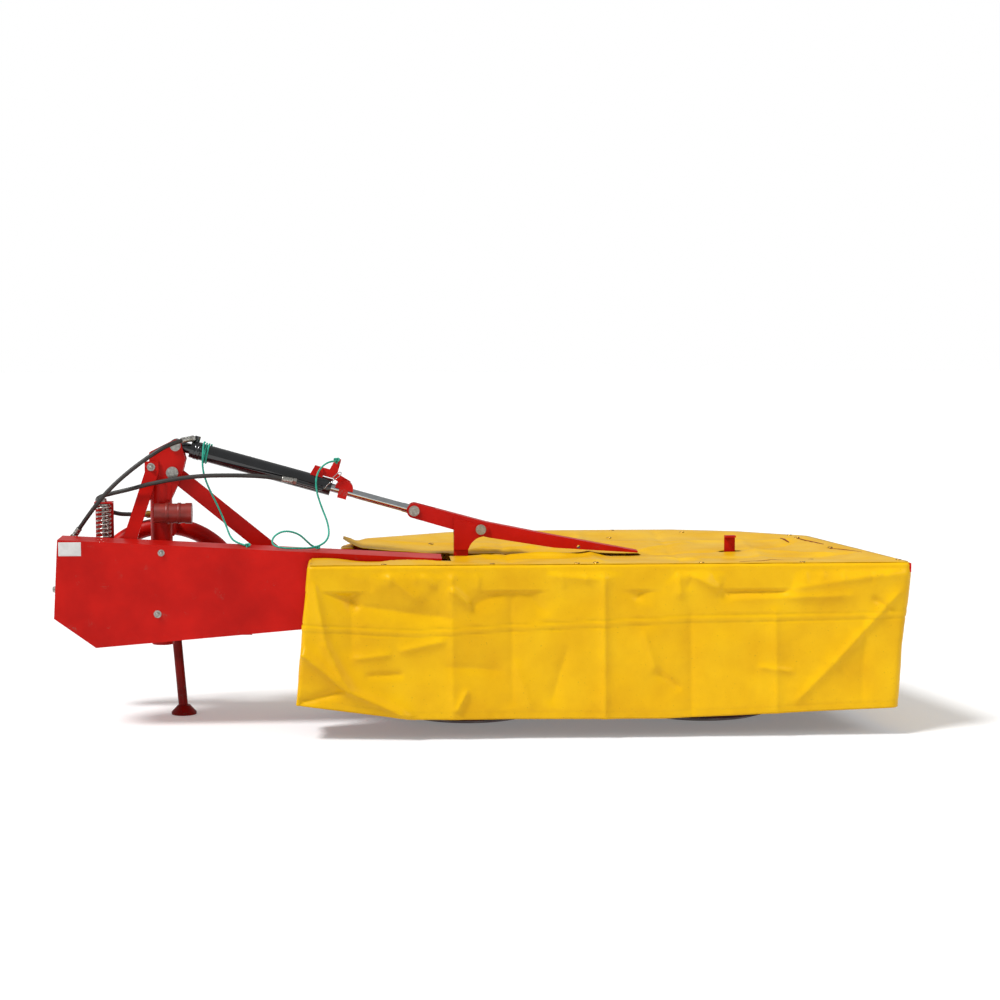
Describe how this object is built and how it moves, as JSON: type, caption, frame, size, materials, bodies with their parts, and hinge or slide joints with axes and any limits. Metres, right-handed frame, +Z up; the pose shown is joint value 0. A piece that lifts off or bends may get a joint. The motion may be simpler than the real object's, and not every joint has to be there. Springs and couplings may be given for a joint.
{
  "type": "drum mower",
  "caption": "Rear-mounted two-drum hay mower with belt drive, hydraulic lift cylinder, top mast, parking stand and a yellow safety curtain round its cutting deck",
  "frame": {"origin": "centre of the bounding box's bottom face, on the ground", "axes": "+X to the cutting side, the machine's right; +Y forward to the tractor; +Z up"},
  "size_m": [2.95, 1.05, 0.992],
  "materials": {
    "red": "gloss",
    "black": "gloss",
    "steel": "satin",
    "spring": "satin",
    "dish": "satin",
    "chrome": "gloss",
    "iron": "matte",
    "belt": "matte",
    "hose": "matte",
    "tube": "satin",
    "sheet": "satin",
    "rope": "matte"
  },
  "bodies": {
    "frame": {"hitch_bow": "red", "hitch_cross_tube": "red", "link_pins": "steel", "king_post": "red", "mast_plates": "red", "mast_pins": "steel", "mast_brace": "red", "mast_stay": "red", "top_link_ears": "red", "post_gussets": "red", "carrying_beam": "red", "drive_plate": "red", "input_housing": "iron", "belt_guard": "red", "guard_studs": "steel", "v_belts": "belt", "spring_bracket": "red", "spring_rod": "steel", "tension_spring": "spring", "document_tube": "tube", "stand_sleeve": "red", "hose_couplers": "steel", "coupler_rest": "red", "hose_base": "hose", "hose_rod": "hose", "latch_rope": "rope", "mast_rope": "rope"},
    "stand": {"parking_stand": "red"},
    "input_drive": {"drive_pulley": "iron", "pto_shaft": "steel"},
    "pulley": {"driven_pulley": "iron"},
    "cylinder": {"cylinder_tube": "black", "latch_lug": "red", "latch_hook": "red"},
    "rod": {"piston_rod": "chrome"},
    "deck": {"gear_case": "red", "arm_post": "red", "lift_arm": "red", "arm_pins": "steel", "deck_tubes": "red", "curtain_rail": "red", "curtain_top": "sheet", "curtain_near": "sheet", "curtain_right": "sheet", "curtain_left": "sheet", "curtain_far": "sheet", "hook_bracket": "red"},
    "drum_left": {"drum_1": "red", "knives_1": "steel"},
    "drum_right": {"drum_2": "red", "knives_2": "steel"},
    "dish_left": {"dish_1": "dish"},
    "dish_right": {"dish_2": "dish"}
  },
  "joints": [
    {"name": "deck_lift", "type": "hinge", "parent": "frame", "child": "deck", "pos_m": [-0.188, -0.06, 0.483], "axis": [0, -1, 0], "range_deg": [-5, 45]},
    {"name": "cylinder_pivot", "type": "hinge", "parent": "frame", "child": "cylinder", "pos_m": [-1.019, -0.06, 0.959], "axis": [0, -1, 0], "range_deg": [-9.48, 1.1]},
    {"name": "rod_slide", "type": "slide", "parent": "cylinder", "child": "rod", "axis": [0.9627, 0, -0.2704], "range_m": [-0.13515, 0.01546]},
    {"name": "drum_1_spin", "type": "hinge", "parent": "deck", "child": "drum_left", "pos_m": [-0.003, 0, 0.396], "axis": [0, 0, 1], "continuous": true},
    {"name": "drum_2_spin", "type": "hinge", "parent": "deck", "child": "drum_right", "pos_m": [0.827, 0, 0.396], "axis": [0, 0, 1], "continuous": true},
    {"name": "dish_1_spin", "type": "hinge", "parent": "deck", "child": "dish_left", "pos_m": [-0.003, 0, 0.09], "axis": [0, 0, 1], "continuous": true},
    {"name": "dish_2_spin", "type": "hinge", "parent": "deck", "child": "dish_right", "pos_m": [0.827, 0, 0.09], "axis": [0, 0, 1], "continuous": true},
    {"name": "driven_pulley_spin", "type": "hinge", "parent": "frame", "child": "pulley", "pos_m": [-0.188, -0.06, 0.483], "axis": [0, 1, 0], "continuous": true},
    {"name": "input_spin", "type": "hinge", "parent": "frame", "child": "input_drive", "pos_m": [-1.173, -0.06, 0.465], "axis": [0, 1, 0], "continuous": true},
    {"name": "stand_slide", "type": "slide", "parent": "frame", "child": "stand", "axis": [-0.0802, 0, 0.9968], "range_m": [0, 0.2]}
  ],
  "couplings": [
    {"joint": "cylinder_pivot", "follows": "deck_lift", "ratio": -0.20948},
    {"joint": "rod_slide", "follows": "deck_lift", "m_per_rad": -0.17144},
    {"joint": "drum_2_spin", "follows": "drum_1_spin", "ratio": -1},
    {"joint": "driven_pulley_spin", "follows": "drum_1_spin", "ratio": 0.58064},
    {"joint": "input_spin", "follows": "drum_1_spin", "ratio": 0.29032}
  ]
}
